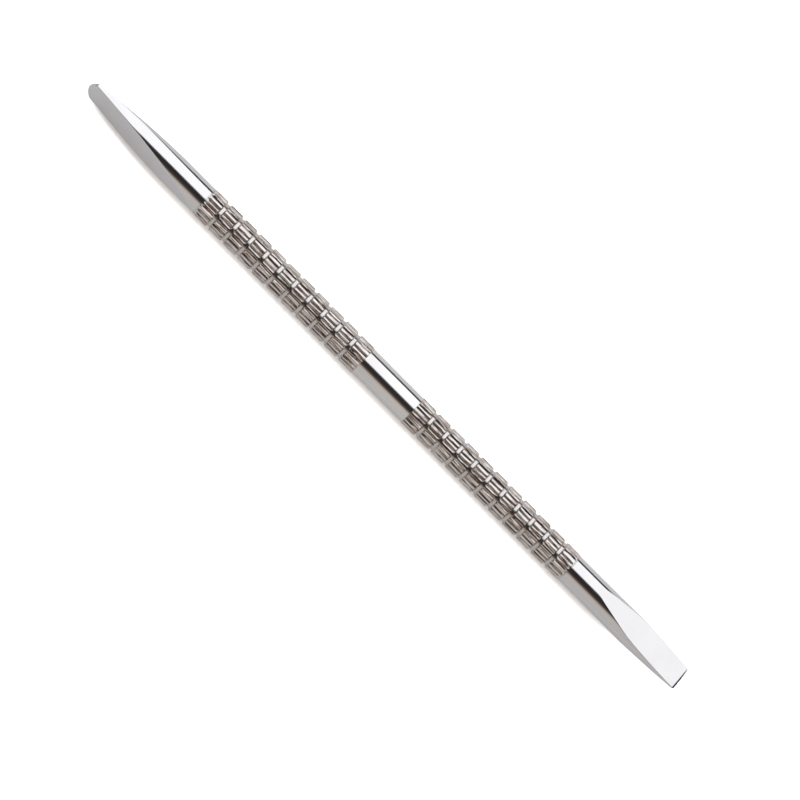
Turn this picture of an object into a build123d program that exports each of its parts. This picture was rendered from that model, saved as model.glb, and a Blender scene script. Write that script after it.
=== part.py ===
from build123d import *
import math
import os

# Double-ended cuticle pusher: a straight polished stainless steel hand tool.
# A knurled bar is the handle. A rounded spatula blade, the pusher, is pressed into one end
# and a straight-edged blade, the scraper, into the other.
# Units are millimetres. X runs along the tool, from the pusher's tip to the scraper's edge,
# with X = 0 at mid length. The tool lies on its knurl, so Z = 0 is the table.

# ---- driving dimensions ----

# plain round stock that the waist and both shanks are left at
shank_diameter = 5.0

# handle: a plain waist between two grips
waist_length = 10.6
band_count = 11            # knurled bands in each grip
band_pitch = 3.08          # from one ring groove to the next, and from a grip's end to its first
groove_width = 0.5         # flat bottom of a ring groove
groove_depth = 0.325       # of a ring groove, below the crests
band_chamfer = 0.2         # 45 degree shoulder at each side of a ring groove

# straight knurl
crest_raise = 0.1          # how far rolling lifts the crests above the shank's surface
flute_count = 20
flute_depth = 0.28
flute_angle = 90.0         # included angle of one V-shaped flute
runout_length = 0.6        # where crests and flutes fade into the shank at each outer end

# press joint between the handle and each working end
tang_diameter = 2.6
tang_length = 8.0
tang_chamfer = 0.35
vent_depth = 0.15          # flat along the tang that lets the air out of the blind socket
press_clearance = 0.0      # radial: the pair is drawn line to line
socket_relief = 0.6        # empty depth left beyond the tang's end
drill_point_angle = 118.0

# both blades: grinding leaves the round sides a hair broader where the tip's taper starts.
# A flat's side view is a list of (distance from the tip, height above the middle plane), with
# the height as a share of the shank's radius. It ends just above the shank.
blade_swell = 0.06         # radial

# pusher: rounded spatula
pusher_length = 24.32      # from the handle's end face to the tip
pusher_flat_length = 23.0  # length of its two ground flats
pusher_flat = [(0, 0.068), (24.0, 1.04)]
pusher_tip_width = 4.24
pusher_taper_length = 10.6  # round sides that narrow towards the tip
pusher_tip_radius = 2.95   # the tip's outline, seen square to the flats
pusher_tip_offset = 0.0
pusher_edge_bevel = 0.06
pusher_roll = 60.0         # the flats' turn about X

# scraper: straight-edged blade
scraper_length = 24.32
scraper_flat_length = 19.4
scraper_flat = [(0, 0.084), (5.5, 0.348), (11.0, 0.644), (14.0, 0.812), (17.0, 0.932), (20.4, 1.04)]
scraper_tip_width = 4.14
scraper_taper_length = 10.8
scraper_tip_radius = 60.0  # a nearly straight edge with a slight crown
scraper_tip_offset = -1.97  # the crown is highest at one side, so the edge runs slightly skew
scraper_edge_bevel = 0.14
scraper_roll = -24.0

# ---- sizes that follow ----

shank_radius = shank_diameter / 2
crest_radius = shank_radius + crest_raise
root_radius = crest_radius - flute_depth
grip_length = band_count * band_pitch
handle_half = waist_length / 2 + grip_length
flute_half_angle = math.radians(flute_angle / 2)

# A flute lies at the very bottom, so the tool rests on the crest corners at each side of it.
flank_length = (
    math.sqrt(crest_radius**2 - (root_radius * math.sin(flute_half_angle)) ** 2)
    - root_radius * math.cos(flute_half_angle)
)
flute_half_width = flank_length * math.sin(flute_half_angle)
axis_height = math.sqrt(crest_radius**2 - flute_half_width**2)

overlap = 1.0              # how far cutting shapes reach past the surface that they cut


def turned(outline):
    """Solid of revolution about X from (x, radius) points that start and end on the axis."""
    return revolve(make_face(Polyline(*outline, close=True)), axis=Axis.X)


def grip_outline():
    """One grip from the waist outwards: bands with chamfered shoulders and ring grooves."""
    start = waist_length / 2
    groove_radius = crest_radius - groove_depth
    shoulder_radius = crest_radius - band_chamfer
    half_bottom = groove_width / 2
    half_mouth = half_bottom + band_chamfer
    points = [(start, shank_radius), (start, crest_radius)]
    for number in range(1, band_count):
        centre = start + number * band_pitch
        points += [
            (centre - half_mouth, crest_radius),
            (centre - half_bottom, shoulder_radius),
            (centre - half_bottom, groove_radius),
            (centre + half_bottom, groove_radius),
            (centre + half_bottom, shoulder_radius),
            (centre + half_mouth, crest_radius),
        ]
    points += [(handle_half - runout_length, crest_radius), (handle_half, shank_radius)]
    return points


def handle_blank():
    """The handle before knurling, with both grips, the waist and no sockets."""
    right = grip_outline()
    left = [(-x, radius) for x, radius in reversed(right)]
    return turned([(-handle_half, 0)] + left + right + [(handle_half, 0)])


def flute_cutter():
    """One flute of the right grip at the top of the bar: a V groove that rises out at its end."""
    top = crest_radius + overlap
    half_width = (top - root_radius) * math.tan(flute_half_angle)
    start = waist_length / 2
    rise_start = handle_half - runout_length
    rise_slope = (shank_radius - root_radius) / runout_length
    rise_end = rise_start + (top - root_radius) / rise_slope
    section = Plane(origin=(start, 0, 0), x_dir=(0, 1, 0), z_dir=(1, 0, 0))
    triangle = make_face(
        Polyline((0, root_radius), (half_width, top), (-half_width, top), close=True)
    )
    first = section * triangle
    last = Pos(rise_start - start, 0, 0) * first
    straight = extrude(first, amount=rise_start - start, dir=(1, 0, 0))
    rise = loft([last.face(), Vertex(rise_end, 0, top)])
    return straight + rise


def socket():
    """Blind drilled hole in the right end face, with the drill's point at its bottom."""
    radius = tang_diameter / 2 + press_clearance
    depth = tang_length + socket_relief
    point = radius / math.tan(math.radians(drill_point_angle / 2))
    floor = handle_half - depth
    return turned(
        [
            (handle_half + overlap, 0),
            (handle_half + overlap, radius),
            (floor, radius),
            (floor - point, 0),
        ]
    )


def handle():
    """Knurled bar with a socket in each end."""
    right_flute = flute_cutter()
    left_flute = right_flute.rotate(Axis.Z, 180)
    turns = [180 + number * 360 / flute_count for number in range(flute_count)]
    cutters = [cutter.rotate(Axis.X, turn) for turn in turns for cutter in (right_flute, left_flute)]
    right_socket = socket()
    left_socket = right_socket.rotate(Axis.Z, 180)
    return handle_blank() - cutters - [right_socket, left_socket]


def tang():
    """Round tang behind the shoulder at x = 0, with a lead-in chamfer and a vent flat."""
    radius = tang_diameter / 2
    body = turned(
        [
            (-tang_length, 0),
            (-tang_length, radius - tang_chamfer),
            (-tang_length + tang_chamfer, radius),
            (0, radius),
            (0, 0),
        ]
    )
    vent = Pos(-tang_length / 2, 0, radius) * Box(tang_length, tang_diameter, 2 * vent_depth)
    return body - vent


def working_end(length, flat_length, flat, width, taper, tip_radius, tip_offset, bevel):
    """A blade along +X from its shoulder at x = 0, with its two flats facing up and down.

    The bar keeps its full diameter up to the heel of the flats, swells a little beside them,
    narrows over the taper, and is ground thin by the flats. flat is one flat's side view, from
    the tip to just above the shank. tip_radius and tip_offset give the outline of the tip, seen
    square to the flats.
    """
    heel = length - flat_length
    bar = turned(
        [
            (0, 0),
            (0, shank_radius),
            (heel, shank_radius),
            (length - taper, shank_radius + blade_swell),
            (length, width / 2),
            (length, 0),
        ]
    )
    upper = [(length - distance, share * shank_radius) for distance, share in flat]
    lower = [(x, -height) for x, height in upper]
    clear_height = shank_diameter
    side_view = Plane.XZ * make_face(
        Curve() + [
            Spline(*upper),
            Spline(*lower),
            Line(upper[0], lower[0]),
            Polyline(
                upper[-1],
                (upper[-1][0], clear_height),
                (-overlap, clear_height),
                (-overlap, -clear_height),
                (lower[-1][0], -clear_height),
                lower[-1],
            ),
        ]
    )
    wedge = extrude(side_view, amount=shank_diameter, both=True)
    centre = length - tip_radius
    disc = Pos(centre, tip_offset, 0) * Cylinder(tip_radius, 2 * shank_diameter)
    block_length = tip_radius + length
    block = Pos(centre - block_length / 2, 0, 0) * Box(
        block_length, 2 * shank_diameter, 2 * shank_diameter
    )
    blade = bar & wedge & (disc + block)
    tip_edges = [
        edge
        for edge in blade.edges()
        if edge.center().X > length - width / 2 and width / 3 < edge.length < 2 * width
    ]
    blade = chamfer(tip_edges, bevel)
    return blade + tang()


def pusher_end():
    blade = working_end(
        pusher_length,
        pusher_flat_length,
        pusher_flat,
        pusher_tip_width,
        pusher_taper_length,
        pusher_tip_radius,
        pusher_tip_offset,
        pusher_edge_bevel,
    )
    turned_round = blade.rotate(Axis.Z, 180).rotate(Axis.X, pusher_roll)
    return Pos(-handle_half, 0, 0) * turned_round


def scraper_end():
    blade = working_end(
        scraper_length,
        scraper_flat_length,
        scraper_flat,
        scraper_tip_width,
        scraper_taper_length,
        scraper_tip_radius,
        scraper_tip_offset,
        scraper_edge_bevel,
    )
    return Pos(handle_half, 0, 0) * blade.rotate(Axis.X, scraper_roll)


nodes = {
    "handle": handle(),
    "pusher_end": pusher_end(),
    "scraper_end": scraper_end(),
}

os.makedirs("parts", exist_ok=True)
for name, shape in nodes.items():
    placed = Pos(0, 0, axis_height) * shape
    export_step(placed, f"parts/{name}.step")
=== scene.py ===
import math

import bpy
import numpy as np
from mathutils import Matrix, Vector


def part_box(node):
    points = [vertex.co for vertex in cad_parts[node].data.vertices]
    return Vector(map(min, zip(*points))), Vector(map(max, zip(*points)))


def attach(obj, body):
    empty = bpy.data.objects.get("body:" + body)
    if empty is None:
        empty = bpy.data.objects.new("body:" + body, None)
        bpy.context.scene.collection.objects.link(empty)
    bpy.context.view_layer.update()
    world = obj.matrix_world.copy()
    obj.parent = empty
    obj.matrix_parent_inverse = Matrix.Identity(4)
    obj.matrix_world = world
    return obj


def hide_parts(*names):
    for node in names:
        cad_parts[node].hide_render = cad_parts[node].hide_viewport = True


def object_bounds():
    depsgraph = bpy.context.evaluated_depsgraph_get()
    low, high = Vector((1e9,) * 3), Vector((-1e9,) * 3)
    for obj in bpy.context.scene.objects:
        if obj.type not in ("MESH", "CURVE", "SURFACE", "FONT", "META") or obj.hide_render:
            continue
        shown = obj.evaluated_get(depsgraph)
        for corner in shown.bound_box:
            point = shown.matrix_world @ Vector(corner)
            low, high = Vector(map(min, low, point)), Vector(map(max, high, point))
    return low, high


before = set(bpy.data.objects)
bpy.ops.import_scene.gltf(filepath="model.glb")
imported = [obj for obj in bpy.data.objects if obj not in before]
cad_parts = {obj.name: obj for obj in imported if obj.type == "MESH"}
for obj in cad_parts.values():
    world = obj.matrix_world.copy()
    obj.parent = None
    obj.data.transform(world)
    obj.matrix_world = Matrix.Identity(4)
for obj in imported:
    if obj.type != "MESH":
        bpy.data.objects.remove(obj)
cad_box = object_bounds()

# Looks of a double-ended cuticle pusher: a polished stainless steel bar with two knurled grips,
# a rounded spatula at -X and a straight-edged scraper at +X. Meshes are worked out in
# millimetres along the tool's own axis, and the finished ones are scaled to metres.

MM = 0.001

# ---- sizes in millimetres, from the frame where it holds them ----

handle_low, handle_high = (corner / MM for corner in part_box("handle"))
HANDLE_HALF = (handle_high.x - handle_low.x) / 2
AXIS_HEIGHT = (handle_high.z + handle_low.z) / 2

SHANK_RADIUS = 2.5
CREST_RADIUS = 2.6
ROOT_RADIUS = 2.32
GROOVE_RADIUS = 2.275
GROOVE_HALF = 0.25         # half of a ring groove's flat bottom
BAND_CHAMFER = 0.2
BAND_PITCH = 3.08
BAND_COUNT = 11
RUNOUT_LENGTH = 0.6
GRIP_START = HANDLE_HALF - BAND_COUNT * BAND_PITCH
SOCKET_RADIUS = 1.3
SOCKET_DEPTH = 8.6
SOCKET_POINT = 0.78
CORNER_EASE = 0.035        # radius that tumbling leaves on the handle's turned corners
SHOULDER_STEP = 0.04       # length over which a grip's inner end rises from the waist

TANG_LENGTH = 8.0
TANG_CHAMFER = 0.35
BLADE_SWELL = 0.06
EDGE_EASE = 0.07           # width of the polished rounding along the flats' edges
FLAT_CROWN = 0.012         # a buffed flat is never quite flat

# A blade's "flat" is a list of (distance from the tip, height above the middle plane).
PUSHER = {
    "length": -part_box("pusher_end")[0].x / MM - HANDLE_HALF,
    "flat_length": 23.0,
    "flat": [(0, 0.17), (24.0, 2.6)],
    "tip_width": 4.24,
    "taper": 10.6,
    "tip_radius": 2.95,
    "tip_offset": 0.0,
    "bevel_height": 0.1,
    "bevel_length": 0.15,
    "bevel_skew": 0.0,
    "roll": 60.0,
    "side": -1,
}
SCRAPER = {
    "length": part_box("scraper_end")[1].x / MM - HANDLE_HALF,
    "flat_length": 19.4,
    "flat": [(0, 0.21), (5.5, 0.87), (11.0, 1.61), (14.0, 2.03), (17.0, 2.33), (20.4, 2.6)],
    "tip_width": 4.14,
    "taper": 10.8,
    "tip_radius": 60.0,
    "tip_offset": -1.97,
    "bevel_height": 0.14,
    "bevel_length": 0.31,
    "bevel_skew": 0.018,
    "roll": -24.0,
    "side": 1,
}


# ---- shared helpers ----

MATH = "ShaderNodeMath"
WHOLE_MATH = "FunctionNodeIntegerMath"


def linear(code):
    """Linear RGBA of an sRGB hex colour."""
    channels = [int(code[start : start + 2], 16) / 255 for start in (1, 3, 5)]
    return [c / 12.92 if c <= 0.04045 else ((c + 0.055) / 1.055) ** 2.4 for c in channels] + [1.0]


def add(tree, kind, inputs=(), **settings):
    """Adds a node with its settings and links.

    inputs is a dict of sockets by name or number, or a tuple for sockets 0, 1 and 2. Each one
    gets a value, a socket or a node's first output.
    """
    node = tree.nodes.new(kind)
    for name, value in settings.items():
        setattr(node, name, value)
    for key, value in inputs.items() if isinstance(inputs, dict) else enumerate(inputs):
        if isinstance(value, bpy.types.Node):
            value = value.outputs[0]
        if isinstance(value, bpy.types.NodeSocket):
            tree.links.new(value, node.inputs[key])
        else:
            node.inputs[key].default_value = value
    return node


def link_object(name, mesh):
    """A new object for a finished mesh, at the origin."""
    piece = bpy.data.objects.new(name, mesh)
    bpy.context.scene.collection.objects.link(piece)
    return piece


def finish_piece(piece, node):
    """The piece rides on the tool's one body and stands for its CAD node."""
    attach(piece, "root")
    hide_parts(node)


# ---- materials ----


def new_material(name):
    """A material with an empty tree."""
    material = bpy.data.materials.new(name)
    material.use_nodes = True
    material.node_tree.nodes.clear()
    return material


def stops(node, points):
    """Sets a colour ramp's stops from (position, linear colour) pairs."""
    ramp = node.color_ramp
    while len(ramp.elements) < len(points):
        ramp.elements.new(1.0)
    for element, (position, colour) in zip(ramp.elements, points):
        element.position = position
        element.color = colour
    return node


def buffed_stainless():
    """Ground and mirror-buffed stainless steel, as on both blades.

    Buffing leaves a bright mirror in which the last wheel's marks run across the flats as very
    faint parallel lines, with a slight cloudiness where the wheel pressed less.
    """
    material = new_material("buffed stainless steel")
    tree = material.node_tree
    place = add(tree, "ShaderNodeTexCoord").outputs["Object"]
    # wheel marks 0.12 mm apart, far coarser than real ones, so that they show
    across = add(tree, "ShaderNodeMapping", {"Vector": place, "Scale": (8300, 500, 500)})
    marks = add(tree, "ShaderNodeTexNoise", {"Vector": across, "Scale": 1.0, "Detail": 2.0})
    # cloudy patches about 3 mm across
    clouds = add(tree, "ShaderNodeTexNoise", {"Vector": place, "Scale": 330.0, "Detail": 3.0})
    haze = add(
        tree,
        "ShaderNodeMapRange",
        {"Value": clouds, "From Min": 0.3, "From Max": 0.7, "To Min": 0.085, "To Max": 0.13},
    )
    streak = add(
        tree,
        "ShaderNodeMapRange",
        {"Value": marks, "From Min": 0.3, "From Max": 0.7, "To Min": -0.012, "To Max": 0.02},
    )
    rough = add(tree, MATH, (haze, streak), operation="ADD")
    tone = stops(
        add(tree, "ShaderNodeValToRGB", {"Fac": clouds}),
        [(0.3, linear("#a6a6a6")), (0.7, linear("#a9a9a9"))],
    )
    bump = add(tree, "ShaderNodeBump", {"Strength": 0.05, "Distance": 0.00002, "Height": marks})
    shader = add(
        tree,
        "ShaderNodeBsdfPrincipled",
        {"Base Color": tone, "Metallic": 1.0, "Roughness": rough, "Normal": bump},
    )
    add(tree, "ShaderNodeOutputMaterial", {"Surface": shader})
    return material


def knurled_stainless():
    """Stainless steel that was turned and knurled, then tumbled bright, as on the handle.

    The crests and the plain waist are polished, and the flutes and ring grooves, which the
    tumbling media reach less, stay duller; they are also painted darker and browner, as painted shade
    in the hollows.
    """
    material = new_material("tumbled knurled stainless steel")
    tree = material.node_tree
    place = add(tree, "ShaderNodeTexCoord").outputs["Object"]
    # how deep a point lies in a flute, from 0 on a crest to 1 at the root, and whether it is on
    # a rolled band or in a ring groove
    recess = add(tree, "ShaderNodeAttribute", attribute_name="recess").outputs["Fac"]
    rolled = add(tree, "ShaderNodeAttribute", attribute_name="rolled").outputs["Fac"]
    groove = add(tree, "ShaderNodeAttribute", attribute_name="groove").outputs["Fac"]
    # blotches about 1.5 mm across, which make the painted shade in the flutes patchy
    blotch = add(tree, "ShaderNodeTexNoise", {"Vector": place, "Scale": 650.0, "Detail": 4.0})
    patchy = add(
        tree,
        "ShaderNodeMapRange",
        {"Value": blotch, "From Min": 0.35, "From Max": 0.65, "To Min": 0.3, "To Max": 1.1},
    )
    # the roller drags fine lines along the flutes and crests, 0.2 mm apart
    lengthwise = add(tree, "ShaderNodeMapping", {"Vector": place, "Scale": (450, 5000, 5000)})
    drags = add(tree, "ShaderNodeTexNoise", {"Vector": lengthwise, "Scale": 1.0, "Detail": 3.0})
    stain = add(
        tree,
        "ShaderNodeMapRange",
        {"Value": drags, "From Min": 0.52, "From Max": 0.72, "To Max": 0.5},
    )
    rolled_stain = add(tree, MATH, (stain, rolled), operation="MULTIPLY")
    # the ring grooves get a little painted shade too, added to the drag stains on the bands
    groove_shade_and_drag_stain = add(tree, MATH, (groove, 0.12, rolled_stain), operation="MULTIPLY_ADD")
    # painted shade: the deeper a point lies in a flute, the darker and browner it is painted, in
    # blotches, on top of the stains
    shade_and_stain = add(tree, MATH, (recess, patchy, groove_shade_and_drag_stain), operation="MULTIPLY_ADD", use_clamp=True)
    tone = stops(
        add(tree, "ShaderNodeValToRGB", {"Fac": shade_and_stain}),
        [(0.0, linear("#aaaaa9")), (0.3, linear("#8a7f77")), (1.0, linear("#594e46"))],
    )
    shade_and_stain_rough = add(tree, "ShaderNodeMapRange", {"Value": shade_and_stain, "To Min": 0.12, "To Max": 0.36})
    rough = add(tree, MATH, (groove, 0.05, shade_and_stain_rough), operation="MULTIPLY_ADD")
    # turning lines 0.12 mm apart round the bar, coarser than real ones, so that they show
    along = add(tree, "ShaderNodeMapping", {"Vector": place, "Scale": (8300, 300, 300)})
    lines = add(tree, "ShaderNodeTexNoise", {"Vector": along, "Scale": 1.0, "Detail": 2.0})
    turned = add(tree, "ShaderNodeBump", {"Strength": 0.08, "Distance": 0.00002, "Height": lines})
    drag_height = add(tree, MATH, (drags, rolled), operation="MULTIPLY")
    bump = add(
        tree,
        "ShaderNodeBump",
        {"Strength": 0.7, "Distance": 0.00006, "Height": drag_height, "Normal": turned},
    )
    shader = add(
        tree,
        "ShaderNodeBsdfPrincipled",
        {"Base Color": tone, "Metallic": 1.0, "Roughness": rough, "Normal": bump},
    )
    add(tree, "ShaderNodeOutputMaterial", {"Surface": shader})
    return material


def white_card():
    """Matt white card under the tool, with light coming through it from below.

    Its light is slightly warm. It looks brighter than it mirrors in the steel, where its +Y side
    is painted lighter, as painted light from the soft box. Close to the tool, where an occlusion
    test towards +Y meets the tool, its glow is dimmed to a small painted soft shadow.
    """
    material = new_material("matt white card")
    tree = material.node_tree
    towards_light = add(tree, "ShaderNodeCombineXYZ", {"X": 0.0, "Y": 0.8, "Z": 0.6})
    # painted shadow: the glow that the camera sees is dimmed where the tool lies within 2 mm towards
    # +Y
    openness = add(
        tree,
        "ShaderNodeAmbientOcclusion",
        {"Distance": 2 * MM, "Normal": towards_light},
        samples=12,
    ).outputs["AO"]
    seen_glow_with_painted_shadow = add(
        tree,
        "ShaderNodeMapRange",
        {"Value": openness, "From Min": 0.5, "From Max": 0.9, "To Min": 0.25, "To Max": 0.95},
    )
    place = add(tree, "ShaderNodeTexCoord").outputs["Object"]
    across = add(tree, "ShaderNodeSeparateXYZ", {0: place}).outputs["Y"]
    # painted light: in the steel's reflections the card glows more on its +Y side, as if nearer the
    # soft box
    mirrored_glow_painted_lighter_at_plus_y = add(
        tree,
        "ShaderNodeMapRange",
        {"Value": across, "From Min": 0.0, "From Max": 4 * MM, "To Min": 0.25, "To Max": 0.45},
    )
    direct = add(tree, "ShaderNodeLightPath").outputs["Is Camera Ray"]
    glow = add(
        tree, "ShaderNodeMapRange", {"Value": direct, "To Min": mirrored_glow_painted_lighter_at_plus_y, "To Max": seen_glow_with_painted_shadow}
    )
    shader = add(
        tree,
        "ShaderNodeBsdfPrincipled",
        {
            "Base Color": linear("#f0f0f0"),
            "Roughness": 1.0,
            "Specular IOR Level": 0.0,
            "Emission Color": (1.0, 0.985, 0.97, 1.0),
            "Emission Strength": glow,
        },
    )
    add(tree, "ShaderNodeOutputMaterial", {"Surface": shader})
    return material


def black_felt():
    """Matt black felt on a studio flag: it gives polished steel a dark line to mirror."""
    material = new_material("black felt")
    tree = material.node_tree
    shader = add(
        tree,
        "ShaderNodeBsdfPrincipled",
        {"Base Color": linear("#58585b"), "Roughness": 1.0, "Specular IOR Level": 0.0},
    )
    add(tree, "ShaderNodeOutputMaterial", {"Surface": shader})
    return material


# ---- handle: a turned outline, knurled by Geometry Nodes ----

# Extra rings on each band, in pitches before its outer end, so that its flutes can bow.
BAND_RINGS = (0.7, 0.5, 0.3)


def eased(corners, radius, steps=2):
    """The outline with a short curve in place of each corner. A point on a straight run stays."""
    points = [Vector(corners[0])]
    for before, corner, after in zip(corners, corners[1:], corners[2:]):
        corner = Vector(corner)
        back = Vector(before) - corner
        ahead = Vector(after) - corner
        turn = math.pi - back.angle(ahead)
        if turn < 0.01:
            points.append(corner)
            continue
        reach = min(radius * math.tan(turn / 2), 0.45 * back.length, 0.45 * ahead.length)
        start = corner + back.normalized() * reach
        end = corner + ahead.normalized() * reach
        for step in range(steps + 1):
            share = step / steps
            points.append(
                start * (1 - share) ** 2 + corner * 2 * share * (1 - share) + end * share**2
            )
    points.append(Vector(corners[-1]))
    return points


def handle_outline():
    """(x, radius) corners of the right half of the handle, from mid waist to the socket's point."""
    corners = [
        (0, SHANK_RADIUS),
        (GRIP_START, SHANK_RADIUS),
        (GRIP_START + SHOULDER_STEP, CREST_RADIUS),
    ]
    for number in range(1, BAND_COUNT):
        centre = GRIP_START + number * BAND_PITCH
        corners += [(centre - share * BAND_PITCH, CREST_RADIUS) for share in BAND_RINGS]
        shoulder = [
            (GROOVE_HALF + BAND_CHAMFER, CREST_RADIUS),
            (GROOVE_HALF + BAND_CHAMFER / 2, CREST_RADIUS - BAND_CHAMFER / 2),
            (GROOVE_HALF, CREST_RADIUS - BAND_CHAMFER),
            (GROOVE_HALF, GROOVE_RADIUS),
        ]
        corners += [(centre - offset, radius) for offset, radius in shoulder]
        corners += [(centre + offset, radius) for offset, radius in reversed(shoulder)]
    corners += [(HANDLE_HALF - share * BAND_PITCH, CREST_RADIUS) for share in BAND_RINGS]
    runout_rings = 6
    for ring in range(runout_rings + 1):
        share = ring / runout_rings
        radius = CREST_RADIUS + (SHANK_RADIUS - CREST_RADIUS) * share
        corners.append((HANDLE_HALF - RUNOUT_LENGTH * (1 - share), radius))
    corners += [
        (HANDLE_HALF, SOCKET_RADIUS),
        (HANDLE_HALF - SOCKET_DEPTH, SOCKET_RADIUS),
        (HANDLE_HALF - SOCKET_DEPTH - SOCKET_POINT, 0),
    ]
    return corners


def geometry_tree(name, sizes):
    """A Geometry Nodes tree with a named input for each size, and its group input's sockets."""
    kinds = {int: "NodeSocketInt", float: "NodeSocketFloat", bpy.types.Material: "NodeSocketMaterial"}
    tree = bpy.data.node_groups.new(name, "GeometryNodeTree")
    tree.interface.new_socket("Geometry", in_out="OUTPUT", socket_type="NodeSocketGeometry")
    tree.interface.new_socket("Outline", in_out="INPUT", socket_type="NodeSocketGeometry")
    for label, value in sizes.items():
        tree.interface.new_socket(label, in_out="INPUT", socket_type=kinds[type(value)])
    return tree, add(tree, "NodeGroupInput").outputs


def turned_points(tree, given):
    """A grid with a row for each outline point and a column for each place round the bar.

    Returns the grid, and the x, the outline's radius and the angle round the bar of its points.
    """
    outline_size = add(
        tree, "GeometryNodeAttributeDomainSize", {"Geometry": given["Outline"]}, component="MESH"
    )
    columns = add(tree, WHOLE_MATH, (given["Points Around"], 1), operation="ADD")
    grid = add(
        tree,
        "GeometryNodeMeshGrid",
        {"Vertices X": outline_size.outputs["Point Count"], "Vertices Y": columns},
    )
    index = add(tree, "GeometryNodeInputIndex")
    row = add(tree, WHOLE_MATH, (index, columns), operation="DIVIDE_FLOOR")
    column = add(tree, WHOLE_MATH, (index, columns), operation="MODULO")
    position = add(tree, "GeometryNodeInputPosition")
    outline_point = add(
        tree,
        "GeometryNodeSampleIndex",
        {"Geometry": given["Outline"], "Value": position, "Index": row},
        data_type="FLOAT_VECTOR",
    )
    place = add(tree, "ShaderNodeSeparateXYZ", (outline_point,)).outputs
    column_angle = add(tree, MATH, (2 * math.pi, given["Points Around"]), operation="DIVIDE")
    angle = add(tree, MATH, (column, column_angle), operation="MULTIPLY")
    return grid, place["X"], place["Z"], angle


def uneven_values(tree, given, axial, band, flutes):
    """Random values by name, one for each flute, or land between two flutes, of each band."""
    number = {}
    for name, operation in (("flute", "ROUND"), ("land", "FLOOR")):
        count = add(tree, MATH, (flutes,), operation=operation)
        number[name] = add(tree, MATH, (count, given["Flutes"]), operation="MODULO")
    # the right grip's numbers start at 1000, past all of the left grip's
    right = add(tree, MATH, (axial, 0.0), operation="GREATER_THAN")
    grip = add(tree, MATH, (right, 1000.0), operation="MULTIPLY")
    first = add(tree, MATH, (band, given["Flutes"], grip), operation="MULTIPLY_ADD")
    values = {}
    kinds = [
        ("place", "flute", -1.0),
        ("depth", "flute", 0.0),
        ("crest", "land", 0.5),
        ("bow", "flute", -1.0),
        ("slant", "flute", -1.0),
    ]
    for seed_step, (name, of, least) in enumerate(kinds):
        identity = add(tree, MATH, (number[of], first), operation="ADD")
        seed = add(tree, WHOLE_MATH, (given["Seed"], seed_step), operation="ADD")
        values[name] = add(
            tree,
            "FunctionNodeRandomValue",
            {2: least, 3: 1.0, "ID": identity, "Seed": seed},
            data_type="FLOAT",
        ).outputs[1]
    return values


def fluted_radius(tree, given, axial, along, angle):
    """Radius of a grip's surface: V-shaped flutes between raised crests, all a little uneven."""
    from_start = add(tree, MATH, (along, given["Grip Start"]), operation="SUBTRACT")
    bands = add(tree, MATH, (from_start, given["Band Pitch"]), operation="DIVIDE")
    band = add(tree, MATH, (bands,), operation="FLOOR")
    phase = add(tree, MATH, (bands,), operation="FRACT")
    pitch = add(tree, MATH, (2 * math.pi, given["Flutes"]), operation="DIVIDE")
    flutes = add(tree, MATH, (angle, pitch), operation="DIVIDE")
    uneven = uneven_values(tree, given, axial, band, flutes)

    # a flute's centre line wanders from band to band, and leans and bows within its band
    wander = add(tree, MATH, (uneven["place"], given["Flute Wander"]), operation="MULTIPLY")
    half_wave = add(tree, MATH, (phase, math.pi), operation="MULTIPLY")
    bulge = add(tree, MATH, (half_wave,), operation="SINE")
    bow = add(tree, MATH, (bulge, given["Flute Bow"]), operation="MULTIPLY")
    bowed = add(tree, MATH, (uneven["bow"], bow, wander), operation="MULTIPLY_ADD")
    from_middle = add(tree, MATH, (phase, 0.5), operation="SUBTRACT")
    lean = add(tree, MATH, (from_middle, given["Flute Slant"]), operation="MULTIPLY")
    shift = add(tree, MATH, (uneven["slant"], lean, bowed), operation="MULTIPLY_ADD")

    # angle between a point and the centre line of its flute
    shifted = add(tree, MATH, (angle, shift), operation="ADD")
    half_pitch = add(tree, MATH, (pitch, 2.0), operation="DIVIDE")
    minus_half = add(tree, MATH, (half_pitch, -1.0), operation="MULTIPLY")
    offset = add(tree, MATH, (shifted, half_pitch, minus_half), operation="WRAP")
    from_centre = add(tree, MATH, (offset,), operation="ABSOLUTE")

    # the root rises to the shank's surface over the run-out at the grip's outer end
    runout = (given["Handle Half"], given["Runout Length"])
    rise = add(
        tree,
        "ShaderNodeMapRange",
        {
            "Value": along,
            "From Min": add(tree, MATH, runout, operation="SUBTRACT"),
            "From Max": given["Handle Half"],
            "To Min": given["Root Radius"],
            "To Max": given["Shank Radius"],
        },
    )
    depth = (uneven["depth"], given["Depth Unevenness"], rise)
    root = add(tree, MATH, depth, operation="MULTIPLY_ADD")

    # the flank is a straight line in the bar's section, softened at the root and at the crest
    sine = add(tree, MATH, (from_centre,), operation="SINE")
    cosine = add(tree, MATH, (from_centre,), operation="COSINE")
    tangent = add(tree, MATH, (given["Flute Half Angle"],), operation="TANGENT")
    slope = add(tree, MATH, (sine, tangent), operation="DIVIDE")
    reach = add(tree, MATH, (cosine, slope), operation="SUBTRACT")
    flank = add(tree, MATH, (root, reach), operation="DIVIDE")
    bottom = add(tree, MATH, (root, given["Root Fill"]), operation="ADD")
    valley = add(tree, MATH, (flank, bottom, given["Softness"]), operation="SMOOTH_MAX")
    lowered = add(tree, MATH, (uneven["crest"], given["Crest Unevenness"]), operation="MULTIPLY")
    crest = add(tree, MATH, (given["Crest Radius"], lowered), operation="SUBTRACT")
    return add(tree, MATH, (valley, crest, given["Softness"]), operation="SMOOTH_MIN")


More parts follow.
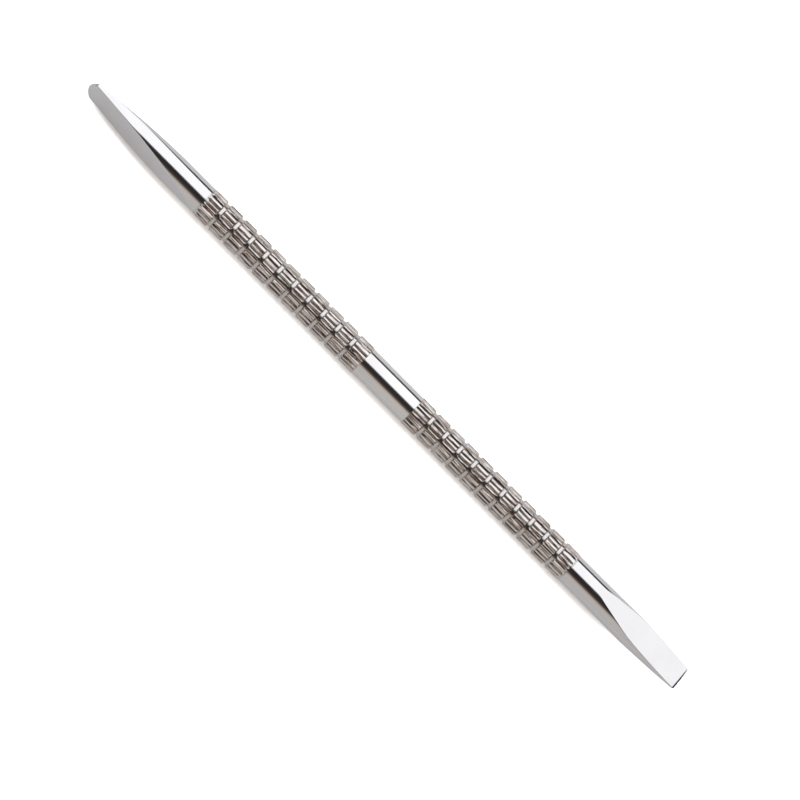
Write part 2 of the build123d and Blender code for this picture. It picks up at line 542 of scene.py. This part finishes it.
def turn_and_knurl(sizes):
    """Turns the outline about X and rolls flutes into everything beyond Grip Edge.

    Each point goes to its outline radius, or to the fluted radius where that is less. Three
    attributes tell the material where the flutes, the rolled bands and the ring grooves are.
    """
    tree, given = geometry_tree("Turn and knurl", sizes)
    grid, axial, turned_radius, angle = turned_points(tree, given)
    along = add(tree, MATH, (axial,), operation="ABSOLUTE")
    fluted = fluted_radius(tree, given, axial, along, angle)
    in_grip = add(tree, MATH, (along, given["Grip Edge"]), operation="GREATER_THAN")
    lesser = add(tree, MATH, (fluted, turned_radius), operation="MINIMUM")
    radius = add(
        tree,
        "GeometryNodeSwitch",
        {"Switch": in_grip, "False": turned_radius, "True": lesser},
        input_type="FLOAT",
    )
    sine = add(tree, MATH, (angle,), operation="SINE")
    cosine = add(tree, MATH, (angle,), operation="COSINE")
    across = add(tree, MATH, (radius, sine), operation="MULTIPLY")
    height = add(tree, MATH, (radius, cosine, given["Axis Height"]), operation="MULTIPLY_ADD")
    position = add(tree, "ShaderNodeCombineXYZ", (axial, across, height))
    shape = add(tree, "GeometryNodeSetPosition", {"Geometry": grid, "Position": position})

    flute_depth = add(tree, MATH, (given["Crest Radius"], given["Root Radius"]), operation="SUBTRACT")
    below = add(tree, MATH, (turned_radius, radius), operation="SUBTRACT")
    recess = add(tree, MATH, (below, flute_depth), operation="DIVIDE")
    on_band = add(tree, MATH, (turned_radius, given["Band Radius"]), operation="GREATER_THAN")
    rolled = add(tree, MATH, (in_grip, on_band), operation="MULTIPLY")
    groove = add(tree, MATH, (in_grip, rolled), operation="SUBTRACT")
    for name, value in (("recess", recess), ("rolled", rolled), ("groove", groove)):
        shape = add(
            tree,
            "GeometryNodeStoreNamedAttribute",
            {"Geometry": shape, "Name": name, "Value": value},
            data_type="FLOAT",
            domain="POINT",
        )
    # merging closes the seam along the bar and the points at the ends of the sockets
    closed = add(
        tree, "GeometryNodeMergeByDistance", {"Geometry": shape, "Distance": given["Merge Distance"]}
    )
    metres = add(tree, "GeometryNodeTransform", {"Geometry": closed, "Scale": (MM, MM, MM)})
    smooth = add(tree, "GeometryNodeSetShadeSmooth", {"Geometry": metres})
    real = add(tree, "GeometryNodeRealizeInstances", {"Geometry": smooth})
    painted = add(
        tree, "GeometryNodeSetMaterial", {"Geometry": real, "Material": given["Material"]}
    )
    add(tree, "NodeGroupOutput", {"Geometry": painted})
    return tree


def handle_piece(material):
    """The whole handle: waist, two grips, and a socket in each end."""
    right = eased(handle_outline(), CORNER_EASE)
    left = [Vector((-point.x, point.y)) for point in reversed(right)]
    outline = left + right[1:]
    mesh = bpy.data.meshes.new("handle outline")
    mesh.from_pydata(
        [(point.x, 0, point.y) for point in outline],
        [(number, number + 1) for number in range(len(outline) - 1)],
        [],
    )
    draft = link_object("handle_draft", mesh)
    sizes = {
        "Points Around": 180,
        "Flutes": 20,
        "Flute Half Angle": math.radians(45.0),
        "Crest Radius": CREST_RADIUS,
        "Root Radius": ROOT_RADIUS,
        "Shank Radius": SHANK_RADIUS,
        "Handle Half": HANDLE_HALF,
        "Grip Start": GRIP_START,
        "Grip Edge": GRIP_START + SHOULDER_STEP / 2,
        "Band Pitch": BAND_PITCH,
        "Band Radius": CREST_RADIUS - 0.06,  # what is turned below this is a ring groove
        "Runout Length": RUNOUT_LENGTH,
        "Root Fill": 0.015,
        "Softness": 0.05,
        "Flute Wander": math.radians(1.3),
        "Flute Bow": math.radians(1.6),
        "Flute Slant": math.radians(3.0),
        "Depth Unevenness": 0.09,
        "Crest Unevenness": 0.03,
        "Axis Height": AXIS_HEIGHT,
        "Merge Distance": 0.0001,
        "Seed": 7,
        "Material": material,
    }
    tree = turn_and_knurl(sizes)
    modifier = draft.modifiers.new("Turn and knurl", "NODES")
    modifier.node_group = tree
    for item in tree.interface.items_tree:
        if item.in_out == "INPUT" and item.name in sizes:
            modifier[item.identifier] = sizes[item.name]
    evaluated = draft.evaluated_get(bpy.context.evaluated_depsgraph_get())
    finished = bpy.data.meshes.new_from_object(evaluated)
    bpy.data.objects.remove(draft)
    finished.set_sharp_from_angle(angle=math.radians(38))
    return link_object("knurled_handle", finished)


# ---- blades: rings along the axis, from the tang's end to the tip ----

LEAST_CORNER = math.radians(3)  # keeps the flats' points apart where the bar is still round
FLAT_STEPS = 10
EASE_STEPS = 5
SIDE_STEPS = 20
TIP_ZONE = 3.5             # length over which the rings bend until they follow the tip's outline
TIP_RINGS = 16
HEEL_STEP = 3              # degrees of the bar's side from one ring to the next at the heel


def smooth_line(points):
    """A function for the smooth line through (place, value) points, straight past its ends."""
    places, values = (np.array(column, float) for column in zip(*points))
    count = len(places)
    # natural cubic spline: its second derivatives solve a tridiagonal system
    gaps = np.diff(places)
    steps = np.diff(values) / gaps
    system = np.eye(count)
    right = np.zeros(count)
    for knot in range(1, count - 1):
        system[knot, knot - 1 : knot + 2] = (
            gaps[knot - 1],
            2 * (gaps[knot - 1] + gaps[knot]),
            gaps[knot],
        )
        right[knot] = 6 * (steps[knot] - steps[knot - 1])
    bends = np.linalg.solve(system, right)

    def value_at(place):
        piece = int(np.clip(np.searchsorted(places, place) - 1, 0, count - 2))
        before, after, gap = place - places[piece], places[piece + 1] - place, gaps[piece]
        straight = (values[piece] * after + values[piece + 1] * before) / gap
        if before < 0 or after < 0:
            return straight
        bend = bends[piece] * (after**3 / gap - gap * after)
        bend += bends[piece + 1] * (before**3 / gap - gap * before)
        return straight + bend / 6

    return value_at


def bar_radius(blade, x):
    """Radius of the ground bar before its flats, at x from the shoulder."""
    length = blade["length"]
    places = [length - blade["flat_length"], length - blade["taper"], length]
    radii = [SHANK_RADIUS, SHANK_RADIUS + BLADE_SWELL, blade["tip_width"] / 2]
    return float(np.interp(x, places, radii))


def half_thickness(blade, x):
    """Height of a flat above the blade's middle plane. Above the bar's radius there is no flat."""
    return float(blade["side_view"](blade["length"] - x))


def quarter(blade, x, inset=0.0):
    """(y, z) points from the middle of a flat round to the side of the bar, for one quarter."""
    radius = bar_radius(blade, x) - inset
    height = half_thickness(blade, x) - inset
    corner = max(math.acos(min(1.0, height / radius)), LEAST_CORNER)
    half_width = radius * math.sin(corner)
    ease = min(EDGE_EASE, 0.3 * half_width, 0.4 * height)
    crown = FLAT_CROWN * min(1.0, half_width / SHANK_RADIUS)

    def top(y):
        return min(height, math.sqrt(radius**2 - y**2))

    flat_end = half_width - ease
    points = []
    for step in range(FLAT_STEPS):
        y = flat_end * math.sin(math.pi / 2 * step / FLAT_STEPS)
        points.append((y, top(y) - crown * (y / half_width) ** 2))
    start = Vector((flat_end, top(flat_end) - crown))
    middle = Vector((half_width, top(half_width) - crown))
    side_start = corner + ease / radius
    end = Vector((radius * math.sin(side_start), radius * math.cos(side_start)))
    for step in range(EASE_STEPS):
        share = step / EASE_STEPS
        bend = start * (1 - share) ** 2 + middle * 2 * share * (1 - share) + end * share**2
        points.append((bend.x, bend.y))
    for step in range(SIDE_STEPS + 1):
        angle = side_start + (math.pi / 2 - side_start) * step / SIDE_STEPS
        points.append((radius * math.sin(angle), radius * math.cos(angle)))
    return points


def ring_signs():
    """(place in the quarter, sign of y, sign of z) for every point of a ring, in order."""
    last = FLAT_STEPS + EASE_STEPS + SIDE_STEPS
    signs = [(place, 1, 1) for place in range(last + 1)]
    signs += [(place, 1, -1) for place in range(last - 1, -1, -1)]
    signs += [(place, -1, -1) for place in range(1, last + 1)]
    signs += [(place, -1, 1) for place in range(last - 1, 0, -1)]
    return signs


def set_back(blade, y):
    """How far the tip's outline lies behind its foremost point at y."""
    radius = blade["tip_radius"]
    return radius - math.sqrt(radius**2 - (y - blade["tip_offset"]) ** 2)


def blade_ring(blade, x, inset=0.0, skew=0.0):
    """One ring of points. Close to the tip it bends until it follows the tip's outline."""
    bend = max(0.0, 1 - (blade["length"] - x) / TIP_ZONE) ** 1.5
    plain = quarter(blade, x, inset)
    ring = []
    for place, sign_y, sign_z in ring_signs():
        y, z = plain[place]
        at = x
        if bend > 0:
            # y moves a little with the ring's place, so the two are worked out by turns
            for _ in range(3):
                at = x - bend * set_back(blade, sign_y * y) + skew * sign_y * sign_z * y
                y, z = quarter(blade, at, inset)[place]
        ring.append((at, sign_y * y, sign_z * z))
    return ring


def ring_places(blade):
    """x of each ring from the shoulder to the start of the tip's bevel."""
    length = blade["length"]
    places = {0.0, length - blade["flat_length"], length - blade["taper"]}
    # close together at the heel, where the flat opens like a parabola
    fine = np.linspace(0, length - TIP_ZONE, 2000)
    edge = [math.acos(min(1.0, half_thickness(blade, x) / bar_radius(blade, x))) for x in fine]
    for degrees in range(HEEL_STEP, 90, HEEL_STEP):
        if math.radians(degrees) < edge[-1]:
            places.add(float(np.interp(math.radians(degrees), edge, fine)))
    last = TIP_ZONE - 1.5 * blade["bevel_length"]
    for ring in range(TIP_RINGS):
        places.add(length - TIP_ZONE + last * ring / (TIP_RINGS - 1))
    return sorted(places)


def blade_mesh(blade, name, material):
    """Tang, shank and blade as one closed mesh, placed on the handle's end, in metres."""
    blade["side_view"] = smooth_line(blade["flat"])
    shoulder = blade_ring(blade, 0.0)
    tang = [
        (-TANG_LENGTH, SOCKET_RADIUS - TANG_CHAMFER),
        (-TANG_LENGTH + TANG_CHAMFER, SOCKET_RADIUS),
        (0.0, SOCKET_RADIUS),
    ]
    rings = []
    for x, radius in tang:
        scale = radius / SHANK_RADIUS
        rings.append([(x, y * scale, z * scale) for _, y, z in shoulder])
    rings += [blade_ring(blade, x) for x in ring_places(blade)]
    for behind, inset in ((1.0, 0.0), (0.0, 1.0)):
        x = blade["length"] - behind * blade["bevel_length"]
        skew = blade["bevel_skew"] * behind
        rings.append(blade_ring(blade, x, inset * blade["bevel_height"], skew))
    count = len(rings[0])
    vertices = [point for ring in rings for point in ring]
    faces = []
    for row in range(len(rings) - 1):
        for column in range(count):
            following = (column + 1) % count
            near, far = row * count, (row + 1) * count
            faces.append((near + column, far + column, far + following, near + following))
    # the tang's end is a fan, and the blade's edge is a strip between its upper and lower lines
    centre = len(vertices)
    vertices.append((-TANG_LENGTH, 0.0, 0.0))
    faces += [(centre, column, (column + 1) % count) for column in range(count)]
    last = (len(rings) - 1) * count
    quarter_steps = count // 4
    for column in range(-quarter_steps, quarter_steps):
        upper = [last + (column + 1) % count, last + column % count]
        mirrored = 2 * quarter_steps - column
        lower = [last + mirrored % count, last + (mirrored - 1) % count]
        faces.append(tuple(dict.fromkeys(upper + lower)))
    mesh = bpy.data.meshes.new(name)
    mesh.from_pydata(vertices, [], faces)
    place = Matrix.Translation((blade["side"] * HANDLE_HALF, 0, AXIS_HEIGHT))
    place @= Matrix.Rotation(math.radians(blade["roll"]), 4, "X")
    if blade["side"] < 0:
        place @= Matrix.Rotation(math.pi, 4, "Z")
    mesh.transform(Matrix.Diagonal((MM, MM, MM, 1)) @ place)
    mesh.validate()
    mesh.materials.append(material)
    mesh.shade_smooth()
    mesh.set_sharp_from_angle(angle=math.radians(20))
    return mesh


# ---- stage, light and camera ----


def make_floor():
    """A wide sheet of white card at the table's height."""
    reach = 3.0
    corners = [(-reach, -reach, 0), (reach, -reach, 0), (reach, reach, 0), (-reach, reach, 0)]
    mesh = bpy.data.meshes.new("card")
    mesh.from_pydata(corners, [], [(0, 1, 2, 3)])
    mesh.materials.append(white_card())
    floor = link_object("card_floor", mesh)


def make_studio():
    """Light from a dome whose bands run along the tool: a large soft box at +Y, grey card at -Y.

    A dark gap is left overhead, which draws the dark line along polished round steel. The
    camera sees plain white where the card ends.
    """
    # angle from the zenith towards +Y in degrees, colour as a share of the soft box's strength
    box_strength = 2.52
    box = (0.985, 0.982, 1.01)
    bands = [
        (-96, (0.47, 0.46, 0.45)),
        (-84, (0.45, 0.435, 0.42)),
        (-52, (0.475, 0.445, 0.425)),
        (-40, (0.43, 0.39, 0.365)),
        (-35, (0.34, 0.29, 0.265)),
        (-30, (0.14, 0.11, 0.093)),
        (-24, (0.08, 0.063, 0.055)),
        (-19, (0.03, 0.024, 0.022)),
        (7, (0.022, 0.018, 0.018)),
        (10, (0.06, 0.055, 0.058)),
        (12.5, (0.19, 0.18, 0.19)),
        (16.5, box),
        (96, box),
    ]
    # share of that strength by the direction's x: the lights end beyond the tool's tips, so
    # steel that faces along the tool mirrors dark
    ends = [(-1, 0.05), (-0.74, 0.05), (-0.69, 1), (0.05, 1), (0.22, 0.945), (0.5, 0.91)]
    ends += [(0.68, 0.89), (0.73, 0.05), (1, 0.05)]
    world = bpy.data.worlds.new("studio dome")
    world.use_nodes = True
    bpy.context.scene.world = world
    tree = world.node_tree
    tree.nodes.clear()
    direction = add(tree, "ShaderNodeTexCoord").outputs["Generated"]
    parts = add(tree, "ShaderNodeSeparateXYZ", {0: direction}).outputs
    angle = add(tree, MATH, (parts["Y"], parts["Z"]), operation="ARCTAN2")
    share = add(
        tree,
        "ShaderNodeMapRange",
        {"Value": angle, "From Min": -math.pi, "From Max": math.pi},
    )
    ramp = stops(
        add(tree, "ShaderNodeValToRGB", {"Fac": share}),
        [((degrees + 180) / 360, (*colour, 1.0)) for degrees, colour in bands],
    )
    along = add(tree, "ShaderNodeMapRange", {"Value": parts["X"], "From Min": -1.0})
    fall = stops(
        add(tree, "ShaderNodeValToRGB", {"Fac": along}),
        [((x + 1) / 2, (level, level, level, 1.0)) for x, level in ends],
    )
    strength = add(tree, MATH, (fall, box_strength), operation="MULTIPLY")
    studio = add(tree, "ShaderNodeBackground", {"Color": ramp, "Strength": strength})
    plain = add(tree, "ShaderNodeBackground", {"Color": (1.0, 1.0, 1.0, 1.0), "Strength": 1.0})
    seen = add(tree, "ShaderNodeLightPath").outputs["Is Camera Ray"]
    mixed = add(tree, "ShaderNodeMixShader", {0: seen, 1: studio, 2: plain})
    add(tree, "ShaderNodeOutputWorld", {"Surface": mixed})


def make_flag():
    """A low strip of black felt that stands at +Y and ends in a point beside the pusher.

    Neither the camera nor the card sees it.
    """
    away, bottom, top = 12 * MM, 2.6 * MM, 5.8 * MM
    point, left, right = -55 * MM, -43 * MM, 62 * MM
    corners = [
        (point, away, (bottom + top) / 2),
        (left, away, bottom),
        (right, away, bottom),
        (right, away, top),
        (left, away, top),
    ]
    mesh = bpy.data.meshes.new("flag")
    mesh.from_pydata(corners, [], [(0, 1, 2, 3, 4)])
    mesh.materials.append(black_felt())
    flag = link_object("felt_flag", mesh)
    flag.visible_camera = False
    flag.visible_diffuse = False
    flag.visible_shadow = False


def make_camera():
    """Above the tool, a little towards its pusher, and turned so that it lies across the frame."""
    low, high = cad_box
    turn = math.radians(45.12)
    lean = Matrix.Rotation(math.radians(-3.4), 3, "Y")
    right = lean @ Vector((math.cos(turn), math.sin(turn), 0))
    up = lean @ Vector((-math.sin(turn), math.cos(turn), 0))
    back = lean @ Vector((0, 0, 1))
    distance = 450 * MM
    view_width = 121.07 * MM
    aside, below = 1.88 * MM, 2.245 * MM  # from the tool's middle to the middle of the view
    data = bpy.data.cameras.new("overhead")
    data.lens = data.sensor_width * distance / view_width
    camera = bpy.data.objects.new("overhead", data)
    bpy.context.scene.collection.objects.link(camera)
    aim = (low + high) / 2 + right * aside - up * below
    matrix = Matrix((right, up, back)).transposed().to_4x4()
    matrix.translation = aim + back * distance
    camera.matrix_world = matrix
    bpy.context.scene.camera = camera


blade_steel = buffed_stainless()
finish_piece(handle_piece(knurled_stainless()), "handle")
finish_piece(
    link_object("pusher_blade", blade_mesh(PUSHER, "pusher blade", blade_steel)),
    "pusher_end",
)
finish_piece(
    link_object("scraper_blade", blade_mesh(SCRAPER, "scraper blade", blade_steel)),
    "scraper_end",
)
make_floor()
make_studio()
make_flag()
make_camera()
bpy.context.scene.view_settings.view_transform = "Standard"
